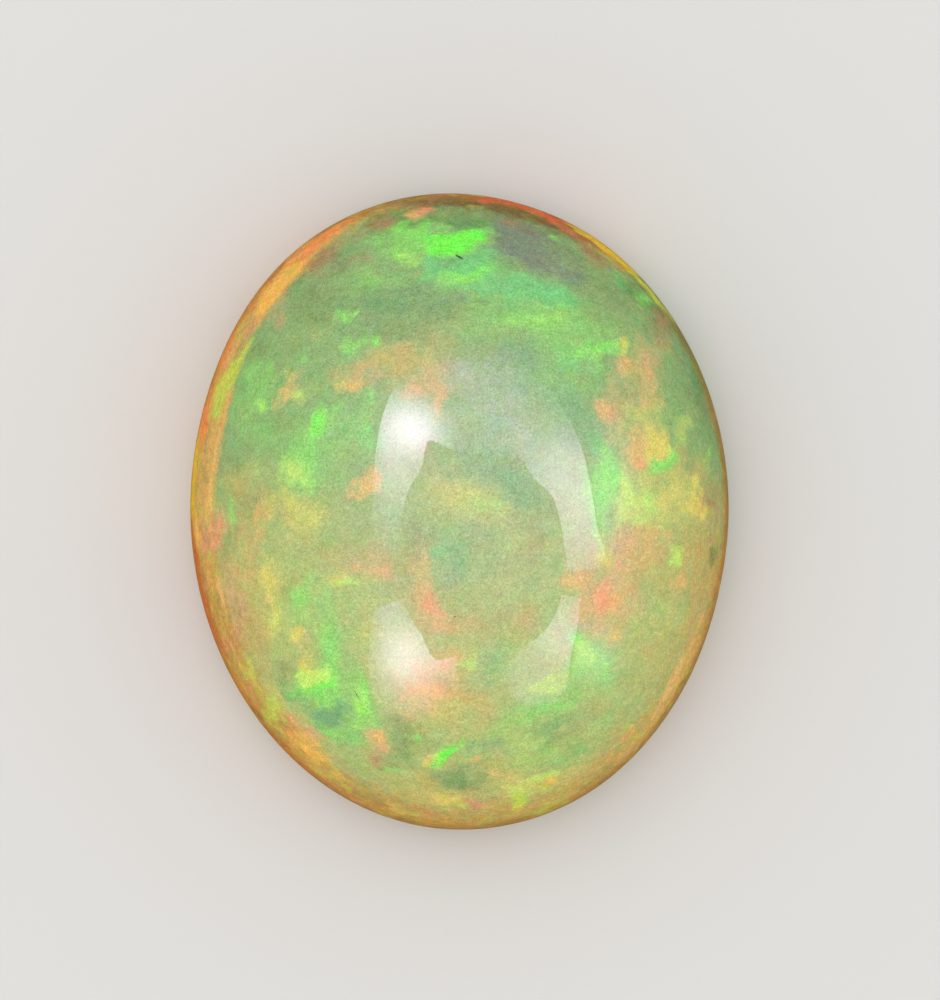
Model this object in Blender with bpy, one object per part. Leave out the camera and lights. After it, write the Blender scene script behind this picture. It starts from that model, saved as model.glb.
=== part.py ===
"""An oval opal cabochon: one polished stone, high domed above and flat below.

Metres, +Z up. The origin is under the middle of the stone, on the plane that it
lies on. The long axis of the oval runs along Y. Going up from the origin the stone
is a flat base, a short bevel that slopes outwards, a narrow upright girdle at the
widest line, and the dome, which rises from the girdle to the crown.
"""

import math

import bmesh
import bpy
from mathutils import Vector

# Driving dimensions, in metres.
LENGTH = 0.0130
WIDTH = 0.0110
TOTAL_HEIGHT = 0.0060
GIRDLE_HEIGHT = 0.00025
BEVEL_HEIGHT = 0.00055
BEVEL_INSET = 0.00060
EDGE_ROUNDING = 0.00010

# A hand-cut oval isn't a true ellipse. Each shoulder swells or thins the outline:
# its direction from +X in degrees, its spread in degrees, and its share of the radius.
SHOULDERS = (
    (78.0, 9.0, -0.0050),
    (125.0, 19.0, 0.0240),
    (225.0, 24.0, -0.0075),
    (298.0, 12.0, 0.0050),
    (342.0, 11.0, -0.0050),
)

# How finely the stone is faceted.
SIDES = 96
DOME_RINGS = 24
ROUNDING_SEGMENTS = 2
SHARP_ANGLE = math.radians(25)

# The finish of polished precious opal, as linear colour.
BODY_COLOUR = (0.42, 0.45, 0.16, 1.0)
POLISH_ROUGHNESS = 0.06
OPAL_IOR = 1.45
BODY_TRANSLUCENCE = 0.35


def clear_scene():
    for thing in list(bpy.data.objects):
        bpy.data.objects.remove(thing)


def shoulder_factor(degrees):
    """How far the cut strays from a true ellipse in this direction, as a factor."""
    factor = 1.0
    for centre, spread, share in SHOULDERS:
        away = (degrees - centre + 180.0) % 360.0 - 180.0
        factor += share * math.exp(-0.5 * (away / spread) ** 2)
    return factor


def girdle_outline():
    """The widest line of the stone, centred on the origin and at its real size."""
    points = []
    for side in range(SIDES):
        turn = 2 * math.pi * side / SIDES
        ellipse = Vector((math.cos(turn) * WIDTH / 2, math.sin(turn) * LENGTH / 2, 0))
        direction = math.degrees(math.atan2(ellipse.y, ellipse.x))
        points.append(ellipse * shoulder_factor(direction))
    low = Vector(map(min, zip(*points)))
    high = Vector(map(max, zip(*points)))
    middle, extent = (low + high) / 2, high - low
    return [
        Vector(((p.x - middle.x) * WIDTH / extent.x, (p.y - middle.y) * LENGTH / extent.y, 0))
        for p in points
    ]


def profile():
    """Rings from the base up: how far each is drawn in from the girdle, as a share of
    the girdle's own radius, and its height."""
    base_scale = 1 - BEVEL_INSET / (WIDTH / 2)
    girdle_top = BEVEL_HEIGHT + GIRDLE_HEIGHT
    dome_height = TOTAL_HEIGHT - girdle_top
    rings = [(base_scale, 0.0), (1.0, BEVEL_HEIGHT), (1.0, girdle_top)]
    for ring in range(1, DOME_RINGS):
        climb = math.pi / 2 * ring / DOME_RINGS
        rings.append((math.cos(climb), girdle_top + dome_height * math.sin(climb)))
    return rings


def place_ring(verts, outline, scale, height):
    for vert, point in zip(verts, outline):
        vert.co = Vector((point.x * scale, point.y * scale, height))


def build_cabochon():
    """Extrudes the base outline up through every ring and closes it at the crown."""
    outline = girdle_outline()
    rings = profile()
    shape = bmesh.new()
    base = bmesh.ops.create_circle(shape, cap_ends=True, radius=1.0, segments=SIDES)
    loop = base["verts"]
    place_ring(loop, outline, *rings[0])
    edges = list(shape.edges)
    for scale, height in rings[1:]:
        grown = bmesh.ops.extrude_edge_only(shape, edges=edges)["geom"]
        edges = [part for part in grown if isinstance(part, bmesh.types.BMEdge)]
        new_verts = [part for part in grown if isinstance(part, bmesh.types.BMVert)]
        place_ring(new_verts, outline, scale, height)
    crown = bmesh.ops.extrude_edge_only(shape, edges=edges)["geom"]
    tip = [part for part in crown if isinstance(part, bmesh.types.BMVert)]
    bmesh.ops.pointmerge(shape, verts=tip, merge_co=(0, 0, TOTAL_HEIGHT))
    bmesh.ops.recalc_face_normals(shape, faces=shape.faces)
    mesh = bpy.data.meshes.new("opal_cabochon")
    shape.to_mesh(mesh)
    shape.free()
    return mesh


def polished_opal():
    """A honey and green body colour under a glassy polish."""
    material = bpy.data.materials.new("polished_opal")
    material.use_nodes = True
    finish = material.node_tree.nodes["Principled BSDF"]
    finish.inputs["Base Color"].default_value = BODY_COLOUR
    finish.inputs["Roughness"].default_value = POLISH_ROUGHNESS
    finish.inputs["Metallic"].default_value = 0.0
    finish.inputs["IOR"].default_value = OPAL_IOR
    finish.inputs["Transmission Weight"].default_value = BODY_TRANSLUCENCE
    material.diffuse_color = BODY_COLOUR
    return material


def main():
    clear_scene()
    mesh = build_cabochon()
    mesh.shade_smooth()
    mesh.set_sharp_from_angle(angle=SHARP_ANGLE)
    mesh.materials.append(polished_opal())
    stone = bpy.data.objects.new("opal_cabochon", mesh)
    bpy.context.scene.collection.objects.link(stone)
    rounding = stone.modifiers.new("worn_edges", "BEVEL")
    rounding.width = EDGE_ROUNDING
    rounding.segments = ROUNDING_SEGMENTS
    rounding.limit_method = "ANGLE"
    rounding.angle_limit = SHARP_ANGLE


main()
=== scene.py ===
"""The looks of an oval opal cabochon, on a plain studio stage.

The stone is one polished piece, so the scene has one piece for it: a finer mesh of the
same cabochon, with a layered material for the honey body, the soft domains of colour
in it, the bright flashes, the painted glow of light under the crown and at the rim, the
painted glare round the lamps' reflections and the fine grain. Places on the dome are in
millimetres from the middle of the stone, as seen from straight above.
"""

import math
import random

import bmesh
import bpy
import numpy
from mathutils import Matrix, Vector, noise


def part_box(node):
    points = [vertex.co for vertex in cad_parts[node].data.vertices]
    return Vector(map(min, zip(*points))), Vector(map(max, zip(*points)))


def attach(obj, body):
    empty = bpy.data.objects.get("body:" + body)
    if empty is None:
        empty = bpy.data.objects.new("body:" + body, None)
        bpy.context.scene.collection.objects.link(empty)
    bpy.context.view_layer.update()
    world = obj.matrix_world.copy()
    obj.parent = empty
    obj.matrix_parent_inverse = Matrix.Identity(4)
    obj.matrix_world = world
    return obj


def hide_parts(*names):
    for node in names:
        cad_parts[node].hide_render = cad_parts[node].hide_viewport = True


bl_info = {
    "name": "Opal Cabochon",
    "version": (1, 0, 0),
    "blender": (4, 5, 0),
    "location": "3D View > Sidebar > Opal",
    "description": "Builds an oval opal cabochon and the stage that it is shown on",
    "category": "Object",
}

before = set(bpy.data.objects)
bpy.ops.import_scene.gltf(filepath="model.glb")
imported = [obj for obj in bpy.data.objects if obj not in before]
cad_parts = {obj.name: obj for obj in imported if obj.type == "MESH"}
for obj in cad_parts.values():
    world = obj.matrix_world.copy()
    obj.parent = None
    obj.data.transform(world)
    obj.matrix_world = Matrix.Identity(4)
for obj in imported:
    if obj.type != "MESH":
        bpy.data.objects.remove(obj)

NODE = "opal_cabochon"
LOW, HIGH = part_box(NODE)
SIZE = HIGH - LOW
MM = 0.001

# Each shoulder swells or thins the oval: its direction from +X in degrees, its spread
# in degrees, and its share of the radius.
SHOULDERS = (
    (78.0, 9.0, -0.0050),
    (125.0, 19.0, 0.0240),
    (225.0, 24.0, -0.0075),
    (298.0, 12.0, 0.0050),
    (342.0, 11.0, -0.0050),
)

# How finely the stone's mesh is cut.
SIDES = 384
DOME_RINGS = 120
BEVEL_RINGS = 6
BASE_RINGS = 24
EDGE_SEGMENTS = 6
SHARP_ANGLE = math.radians(25)

# What the camera takes in, and its distance from the girdle, in metres.
VIEW_HEIGHT = 20.44 * MM
VIEW_CENTRE = (0.215 * MM, 0.235 * MM)
CAMERA_DISTANCE = 0.25
CLIP_START = 0.001
# The width of its sensor, in millimetres.
SENSOR = 36.0


def srgb(red, green, blue):
    """A display colour, 0 to 255, as the scene-linear colour that shaders take."""
    def linear(level):
        level /= 255
        return level / 12.92 if level <= 0.04045 else ((level + 0.055) / 1.055) ** 2.4
    return (linear(red), linear(green), linear(blue))


# Patches of colour, each (x, y, length, width, turn, strength): its middle, its size
# and its turn in degrees as seen from above, and how strongly it shows. The first lists
# are the broad, soft domains of the body.
HONEY = (
    (-4.75, -2.2, 1.5, 4.6, -8, 1.0),
    (-3.4, 0.0, 2.4, 0.9, 15, 0.6),
    (-4.1, -2.6, 1.0, 2.6, -15, 0.6),
    (-2.0, -0.9, 2.4, 0.8, 0, 0.6),
    (-0.6, 2.9, 1.6, 1.2, 0, 0.8),
    (-1.6, 3.05, 1.4, 0.8, 0, 0.7),
    (-2.3, 2.75, 0.9, 0.5, 15, 0.5),
    (-3.35, -4.35, 0.9, 0.4, -45, 0.8),
    (-4.5, 0.45, 0.8, 0.6, 0, 0.8),
    (5.0, -1.3, 0.4, 1.0, -10, 0.8),
    (-0.3, 3.7, 0.7, 0.7, 0, 0.5),
    (-2.2, 5.7, 0.9, 0.4, 35, 0.7),
    (0.2, -6.0, 6.5, 0.9, 0, 1.0),
    (-3.0, -5.2, 2.6, 0.8, -45, 1.0),
    (3.0, -5.2, 2.8, 0.8, 45, 0.9),
    (4.9, -2.0, 1.2, 5.0, -15, 0.7),
    (3.9, -0.9, 2.4, 1.4, 0, 0.9),
    (2.9, -1.9, 1.2, 2.0, 0, 0.6),
    (0.6, -2.2, 2.4, 1.0, 0, 0.8),
    (-0.4, -3.7, 1.8, 1.2, 0, 1.0),
    (0.4, -4.1, 1.0, 0.7, 0, 0.6),
    (1.5, -0.5, 1.0, 0.8, 0, 0.5),
    (3.7, 2.7, 0.8, 1.6, 0, 0.8),
    (4.5, 0.9, 0.8, 0.9, 0, 0.7),
    (5.0, 0.2, 0.8, 1.6, 0, 0.7),
    (-0.8, -1.4, 1.4, 1.2, 0, 0.7),
    (3.9, -3.2, 1.6, 1.6, 0, 0.3),
    (1.0, -5.3, 1.2, 0.6, 0, 0.5),
    (-0.6, -5.4, 0.5, 0.7, 0, 0.9),
    (-1.9, -5.4, 1.2, 0.4, -20, 0.7),
    (4.1, 3.8, 0.6, 0.8, -30, 0.7),
)
MOSS = (
    (-3.2, 4.5, 1.6, 1.2, 45, 0.6),
    (-1.2, 4.2, 3.6, 0.7, 0, 0.9),
    (-4.0, 3.4, 0.8, 1.0, -30, 0.4),
    (-1.2, 3.6, 1.2, 0.5, 0, 0.8),
    (2.9, 4.4, 1.8, 0.9, -15, 0.8),
    (4.15, 3.85, 0.7, 1.0, -50, 1.1),
    (4.95, 2.6, 0.8, 2.4, 15, 0.9),
    (1.9, 5.5, 2.0, 0.7, -35, 0.9),
    (-2.5, 5.2, 0.9, 0.6, 30, 0.7),
    (-0.2, 6.1, 3.4, 0.4, 0, 1.0),
    (-4.05, 3.15, 0.5, 0.4, 0, 0.7),
    (-4.66, -0.55, 0.35, 0.5, 0, 0.9),
    (-2.6, 2.15, 0.6, 0.3, 0, 0.6),
    (-1.3, -4.25, 0.7, 0.5, 0, 0.6),
    (-1.1, 5.75, 1.4, 0.4, 0, 0.8),
    (0.0, -5.48, 1.2, 0.65, 0, 1.1),
    (0.95, 5.5, 0.8, 0.9, 0, 0.7),
    (-4.3, 0.0, 0.5, 0.9, 0, 0.6),
    (3.7, 4.4, 0.7, 0.4, -45, 0.8),
    (-3.45, -1.45, 0.4, 0.8, 0, 0.5),
    (-1.2, -4.8, 1.1, 1.0, 0, 0.8),
    (-3.6, -3.3, 0.9, 0.8, 0, 0.5),
    (-2.6, -0.4, 2.0, 0.7, 15, 0.3),
    (2.2, -4.5, 1.5, 0.7, 20, 0.6),
    (-4.7, 0.6, 0.5, 1.8, 0, 0.4),
    (-3.5, 1.9, 1.2, 0.5, 0, 0.4),
    (-1.0, -0.7, 1.0, 0.9, 0, 0.5),
)
JADE = (
    (0.2, 5.2, 2.0, 0.9, 0, 0.7),
    (-1.0, 5.4, 1.3, 0.7, 0, 0.8),
    (0.9, 4.6, 3.0, 0.8, 0, 0.7),
    (0.5, 4.15, 1.8, 0.8, 0, 0.7),
    (1.8, 3.9, 2.8, 0.9, 0, 1.0),
    (2.4, 3.2, 1.8, 1.2, 0, 0.9),
    (2.1, 2.4, 1.6, 1.4, 0, 0.6),
    (-1.8, 4.55, 1.1, 0.5, 0, 0.9),
    (-4.2, 2.5, 0.8, 2.0, -15, 0.8),
    (-3.2, 1.3, 1.6, 2.0, -10, 0.9),
    (-2.2, 1.7, 1.2, 1.4, 0, 0.6),
    (2.95, 0.5, 0.9, 2.2, 0, 1.0),
    (3.0, -0.5, 0.5, 0.8, 0, 0.6),
    (4.5, 1.7, 0.9, 1.2, 0, 0.6),
    (-2.9, -2.0, 1.2, 1.6, -15, 0.7),
    (-2.6, -3.0, 1.0, 1.4, 0, 0.8),
    (-2.7, -3.9, 1.6, 1.2, -30, 1.0),
    (-2.35, -4.5, 0.8, 0.4, -25, 0.8),
    (-2.0, -4.1, 1.0, 1.4, 0, 0.9),
    (2.7, -3.1, 1.3, 1.2, 0, 0.9),
    (1.7, -4.0, 2.6, 1.0, 30, 0.7),
    (2.0, -4.9, 2.4, 0.9, 15, 0.5),
    (0.75, -3.1, 0.8, 1.4, 0, 0.6),
    (-1.2, -4.6, 0.8, 0.7, 0, 0.5),
)
STRAW = (
    (3.9, 0.6, 1.6, 2.0, 0, 0.9),
    (4.7, 0.1, 1.0, 1.2, 0, 0.7),
    (-0.1, 0.32, 1.9, 0.7, -15, 1.0),
    (0.7, -0.05, 1.1, 0.5, -15, 0.6),
    (-3.5, 0.3, 0.6, 0.4, 0, 0.8),
    (-3.0, 0.1, 0.8, 0.4, 0, 0.8),
    (-3.7, -1.8, 0.8, 1.8, 0, 0.8),
    (-3.2, -0.2, 1.6, 0.8, 0, 0.7),
    (1.5, -5.6, 2.4, 0.7, -5, 0.9),
    (0.2, -3.1, 0.8, 0.8, 0, 0.6),
    (-3.7, -4.0, 1.3, 0.6, -45, 0.8),
    (3.85, 0.0, 0.9, 0.5, 0, 0.8),
    (1.0, -1.6, 1.6, 0.8, 0, 0.4),
    (-1.9, -2.4, 0.6, 1.0, 0, 0.3),
    (-0.4, -5.8, 1.4, 0.5, 0, 0.6),
    (3.8, 2.0, 0.8, 1.0, 0, 0.8),
    (4.55, 1.85, 0.5, 0.5, 0, 0.7),
    (-3.9, 0.9, 1.0, 0.7, 0, 0.5),
    (-3.3, 2.4, 0.7, 0.6, 0, 0.6),
    (-2.3, -1.4, 1.0, 0.4, 0, 0.7),
    (-2.9, 3.9, 1.4, 0.5, 30, 0.3),
    (4.0, -2.3, 1.2, 0.8, 0, 0.5),
)
PEACH = (
    (-0.6, 2.7, 0.8, 0.8, 0, 0.8),
    (-0.35, 2.25, 0.5, 0.6, 0, 0.8),
    (3.9, 3.35, 0.5, 0.7, 0, 0.9),
    (-1.0, 2.5, 0.9, 0.6, 0, 0.6),
    (-2.0, 2.75, 1.0, 0.5, 0, 0.8),
    (3.85, 2.6, 0.5, 0.9, 0, 0.7),
    (3.35, 2.8, 0.5, 0.9, 0, 0.7),
    (3.15, 2.0, 0.6, 0.9, 0, 0.7),
    (3.7, 2.3, 0.4, 0.5, 0, 0.5),
    (3.5, 1.2, 0.6, 0.7, 0, 0.6),
    (-0.65, -1.8, 0.7, 1.8, 5, 0.9),
    (2.9, -1.8, 0.9, 1.6, 0, 0.9),
    (3.4, -1.5, 0.8, 1.2, 20, 0.5),
    (3.4, -0.7, 1.8, 0.7, 0, 0.7),
    (-1.8, -1.15, 1.6, 0.4, 0, 0.7),
    (-0.5, -3.3, 1.4, 0.8, 15, 0.9),
    (-0.7, -3.8, 1.2, 0.6, 0, 0.7),
    (-4.98, -0.4, 0.4, 1.0, 0, 0.8),
    (2.6, -2.1, 0.6, 0.9, -15, 0.6),
    (-3.9, -0.5, 1.2, 0.8, 0, 0.4),
    (-3.25, -4.75, 1.0, 0.5, -45, 0.7),
    (-3.2, -4.35, 0.5, 0.35, -45, 0.8),
    (-2.95, -4.6, 0.4, 0.4, 0, 0.9),
    (-3.75, 4.15, 0.5, 0.4, 50, 0.8),
    (-1.82, -4.6, 0.4, 0.4, 0, 0.9),
    (-0.4, 0.8, 0.7, 0.5, 0, 0.6),
    (-4.6, -1.5, 0.6, 2.2, -5, 0.4),
    (-1.7, -4.8, 0.5, 0.5, 0, 0.7),
    (-4.55, -2.4, 0.5, 1.2, -10, 0.9),
    (-3.15, -2.75, 0.5, 0.8, 0, 0.8),
)
BARK = (
    (-2.9, 4.95, 0.9, 0.45, 50, 0.7),
    (-2.6, 5.45, 0.6, 0.25, 40, 0.6),
    (-1.5, 5.85, 0.6, 0.35, 0, 1.2),
    (-1.95, 5.1, 0.6, 0.2, 0, 0.6),
    (-3.9, 4.0, 0.4, 0.6, -35, 0.5),
    (-4.75, -1.1, 0.3, 1.0, -5, 0.3),
    (5.15, 0.25, 0.35, 0.9, 0, 0.9),
    (4.55, 1.15, 0.5, 0.5, 0, 0.5),
    (2.7, 5.25, 0.9, 0.30, -45, 1.1),
    (4.2, 3.75, 0.5, 0.7, -45, 1.0),
    (1.6, -0.45, 0.6, 0.5, 0, 0.6),
    (-0.55, 1.2, 0.5, 0.5, 0, 0.7),
    (0.7, -2.2, 1.0, 0.5, 0, 0.4),
    (-1.7, -5.0, 0.45, 0.3, 0, 0.4),
    (0.5, -5.8, 0.7, 0.3, 0, 0.6),
    (-4.05, -0.3, 0.3, 0.7, 0, 0.4),
    (-4.45, -2.0, 0.3, 0.5, 0, 0.7),
    (-2.1, 5.55, 0.5, 0.35, 0, 0.7),
)
SLATE = (
    (0.95, 5.7, 0.8, 0.7, 0, 1.1),
    (1.45, 5.75, 0.8, 0.35, -25, 0.9),
    (1.25, 5.4, 0.9, 0.7, -30, 0.9),
    (1.8, 5.15, 1.0, 0.7, -35, 0.8),
    (2.25, 4.8, 0.9, 0.7, -45, 0.6),
    (0.5, 3.1, 1.4, 0.6, 0, 0.3),
    (-0.1, 4.3, 0.9, 0.3, 0, 0.6),
    (-1.3, -0.9, 0.8, 0.9, 0, 0.4),
)
TEAL = (
    (-0.9, 4.30, 2.8, 0.55, 0, 0.7),
    (-0.2, 5.15, 1.2, 0.25, 10, 0.8),
    (-2.0, 3.85, 1.2, 0.40, 0, 0.6),
    (-1.1, 3.40, 0.8, 0.40, 0, 0.5),
    (1.4, 3.00, 1.2, 0.80, -15, 1.0),
    (2.4, 2.00, 0.7, 1.40, 15, 0.9),
    (1.2, 2.30, 0.9, 1.00, 0, 0.6),
    (4.75, 2.80, 0.40, 0.8, 15, 0.7),
    (0.9, 0.75, 1.6, 0.80, -15, 1.0),
    (1.3, 0.30, 1.1, 0.60, -25, 1.0),
    (0.15, -0.80, 0.9, 1.20, 0, 0.8),
    (-0.1, -1.50, 0.4, 0.80, 0, 0.6),
    (-2.65, -4.10, 0.7, 0.45, -15, 0.8),
    (-2.4, -4.60, 0.7, 0.35, 0, 0.6),
    (0.5, 5.35, 0.7, 0.35, 0, 1.0),
    (1.1, 5.12, 0.9, 0.3, -15, 0.9),
    (0.2, 5.98, 1.3, 0.25, 0, 0.9),
    (-3.25, -3.75, 0.5, 0.5, 0, 1.0),
    (-2.75, -4.15, 0.7, 0.35, -30, 0.7),
    (-0.2, -2.70, 0.5, 0.20, 15, 0.6),
    (-0.1, -5.45, 1.2, 0.40, 0, 0.5),
    (0.5, -4.80, 1.0, 0.40, 0, 0.8),
    (0.6, -3.20, 0.6, 1.1, -15, 0.7),
    (1.9, -4.45, 1.2, 0.30, 15, 0.6),
    (-3.0, 2.15, 1.2, 0.35, 0, 0.5),
    (2.2, 2.0, 0.8, 1.2, 30, 0.6),
    (0.4, 1.5, 1.4, 0.8, 0, 0.7),
    (0.5, 2.6, 1.0, 0.6, 0, 0.5),
    (1.7, 2.2, 0.8, 0.8, 0, 0.5),
    (2.5, -5.0, 0.9, 0.3, 20, 0.5),
    (-1.9, -5.35, 0.9, 0.35, -20, 0.4),
)
FERN = (
    (0.2, 5.98, 1.3, 0.28, 0, 1.2),
    (-1.1, 5.82, 1.2, 0.40, 0, 1.0),
    (-1.1, 6.08, 0.7, 0.20, 0, 0.9),
    (3.7, 4.45, 0.9, 0.35, -45, 1.0),
    (-3.3, -3.8, 0.5, 0.4, 0, 0.6),
    (4.85, 2.7, 0.3, 0.8, 15, 0.7),
    (-1.5, 5.7, 0.5, 0.3, 0, 0.6),
    (-0.05, -5.55, 0.9, 0.3, 0, 0.5),
    (0.0, 4.62, 0.7, 0.2, 0, 0.3),
)
MINT = (
    (0.4, 4.80, 1.4, 0.5, 0, 0.9),
    (0.1, 4.60, 0.9, 0.3, 10, 0.8),
    (1.1, 4.60, 1.8, 0.6, -5, 1.1),
    (1.9, 4.35, 1.2, 0.5, -15, 0.8),
    (0.35, 5.15, 0.9, 0.35, 10, 1.0),
    (2.4, 3.00, 1.0, 0.7, 0, 0.6),
    (-0.7, 4.75, 0.9, 0.25, 20, 0.7),
    (-0.85, 5.05, 0.7, 0.25, 0, 0.7),
    (-2.6, 1.80, 0.8, 1.0, 0, 0.5),
    (2.75, 1.5, 0.35, 0.7, 10, 0.7),
    (-1.9, 1.6, 0.5, 1.0, 0, 0.5),
    (3.3, 4.75, 0.5, 0.3, -45, 0.7),
    (-1.3, -1.1, 0.4, 0.4, 0, 0.4),
    (-0.3, -1.0, 0.3, 0.9, 0, 0.7),
    (0.1, -0.75, 0.8, 0.9, 0, 0.6),
    (0.9, 0.7, 1.0, 0.5, -20, 0.3),
    (-0.5, 5.15, 0.8, 0.3, 0, 0.7),
    (-0.4, 4.9, 0.5, 0.25, 0, 0.8),
)
# Painted glare: a pale haze laid over the places round the lamps' reflections, which stands for
# their light and not for a colour in the stone.
PAINTED_GLARE = (
    (0.15, 3.05, 1.1, 0.9, 0, 0.6),
    (0.9, 1.9, 1.8, 2.2, 0, 0.7),
    (-1.6, -1.95, 0.5, 0.6, 0, 0.5),
    (1.6, -3.6, 1.2, 0.6, 20, 0.4),
    (2.7, -2.4, 0.7, 0.5, 0, 0.4),
)

# The flashes, which are smaller and crisper.
GREEN = (
    (-0.3, 5.45, 0.9, 0.50, 0, 0.8),
    (0.2, 5.62, 0.9, 0.55, 0, 0.8),
    (-1.4, 5.68, 0.5, 0.25, 0, 0.4),
    (-1.0, 5.35, 0.7, 0.4, 0, 0.7),
    (-1.7, 5.47, 0.6, 0.3, 0, 0.6),
    (-1.2, 6.18, 0.8, 0.14, 12, 0.9),
    (-1.7, 4.70, 0.9, 0.45, 0, 0.6),
    (0.15, 4.88, 1.3, 0.26, 12, 1.1),
    (-0.15, 4.63, 0.8, 0.28, 15, 0.8),
    (1.6, 3.95, 1.4, 0.50, 0, 0.9),
    (2.6, 3.7, 1.0, 0.3, 0, 0.5),
    (2.9, 3.27, 1.3, 0.36, 12, 1.3),
    (1.88, 5.58, 0.22, 0.18, 0, 1.1),
    (3.75, 4.3, 0.4, 0.22, -45, 0.9),
    (-2.4, 4.1, 0.5, 0.26, 0, 1.0),
    (-2.1, 4.12, 0.35, 0.08, 45, 0.9),
    (-1.25, 5.2, 0.4, 0.3, 0, 0.7),
    (-2.3, 3.42, 0.5, 0.4, 0, 1.1),
    (-1.95, 3.55, 0.3, 0.16, 15, 0.7),
    (-1.62, 3.42, 0.34, 0.30, 0, 1.1),
    (-4.25, 2.8, 0.4, 0.8, -15, 0.6),
    (-3.87, 2.95, 0.28, 0.4, 0, 0.9),
    (-3.2, 3.1, 0.7, 0.2, 0, 0.6),
    (-4.2, 2.12, 0.55, 0.20, 45, 0.9),
    (-2.93, 1.76, 0.40, 0.70, -12, 1.5),
    (-3.25, 0.95, 0.8, 1.0, 0, 1.3),
    (-2.5, 1.9, 0.3, 0.7, -15, 0.7),
    (-2.0, 1.6, 0.35, 0.8, 0, 0.7),
    (-1.85, 2.3, 0.3, 0.4, 0, 0.6),
    (-4.8, 0.5, 0.18, 0.25, 0, 0.9),
    (-4.58, -0.1, 0.12, 0.50, 0, 1.0),
    (4.5, 1.5, 0.4, 0.5, 0, 0.5),
    (3.95, 0.82, 0.5, 0.3, 0, 0.7),
    (5.0, 1.2, 0.16, 0.7, 0, 0.9),
    (4.18, 1.02, 0.5, 0.38, 15, 1.4),
    (2.92, 0.70, 0.55, 1.3, 0, 1.9),
    (2.85, -0.25, 0.3, 0.7, 0, 0.6),
    (-3.05, -1.35, 0.4, 0.35, 0, 0.7),
    (-3.2, -1.8, 0.4, 0.7, -15, 0.9),
    (-2.7, -1.75, 0.3, 0.5, 0, 0.6),
    (-2.6, -2.3, 0.35, 0.7, 0, 0.6),
    (-2.62, -2.95, 0.42, 0.9, 0, 1.0),
    (-2.85, -3.5, 0.9, 0.50, -10, 1.2),
    (-2.75, -3.85, 0.6, 0.3, 0, 0.7),
    (-0.95, 5.68, 0.9, 0.45, 0, 0.9),
    (-1.95, -3.65, 0.5, 0.6, 0, 1.0),
    (-2.1, -4.10, 0.5, 0.6, 0, 1.1),
    (-3.3, -3.75, 0.4, 0.4, 0, 0.8),
    (-2.6, -4.50, 0.9, 0.3, -25, 0.9),
    (-0.85, -4.6, 0.25, 0.2, 0, 0.8),
    (-1.3, -5.3, 0.8, 0.25, 0, 0.6),
    (-0.30, -4.88, 0.75, 0.28, 42, 1.2),
    (-1.0, -4.45, 0.5, 0.4, 0, 0.5),
    (2.45, -2.80, 0.42, 0.5, 0, 1.1),
    (2.70, -3.20, 0.9, 0.55, -15, 0.9),
    (2.1, -3.9, 1.1, 0.3, 30, 0.5),
    (1.4, -4.1, 1.3, 0.5, 30, 0.6),
    (1.65, -4.1, 0.25, 0.15, 0, 0.8),
    (3.0, -4.25, 1.4, 0.4, 15, 0.4),
    (1.9, -5.05, 1.4, 0.4, 15, 0.5),
)
VIVID = (
    (-0.12, 5.49, 1.0, 0.46, 8, 1.4),
    (0.20, 5.73, 0.75, 0.26, 5, 1.2),
    (-0.9, 5.65, 0.8, 0.35, 0, 0.5),
    (2.93, 0.62, 0.32, 1.0, 0, 0.6),
    (-2.0, -3.9, 0.3, 0.6, -8, 0.5),
    (0.10, 4.90, 1.1, 0.22, 12, 0.5),
    (2.85, 3.36, 0.9, 0.26, 12, 0.5),
    (-1.62, 3.42, 0.25, 0.22, 0, 0.5),
    (-2.93, 1.76, 0.33, 0.60, -12, 0.9),
    (4.2, 1.0, 0.40, 0.30, 15, 0.6),
    (-2.85, -3.50, 0.60, 0.40, -10, 0.9),
    (-2.10, -4.15, 0.35, 0.45, 0, 0.6),
    (-1.90, -3.60, 0.25, 0.35, 0, 0.4),
    (-0.30, -4.92, 0.75, 0.20, 44, 1.3),
    (2.42, -2.75, 0.30, 0.35, 0, 0.6),
)
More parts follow.
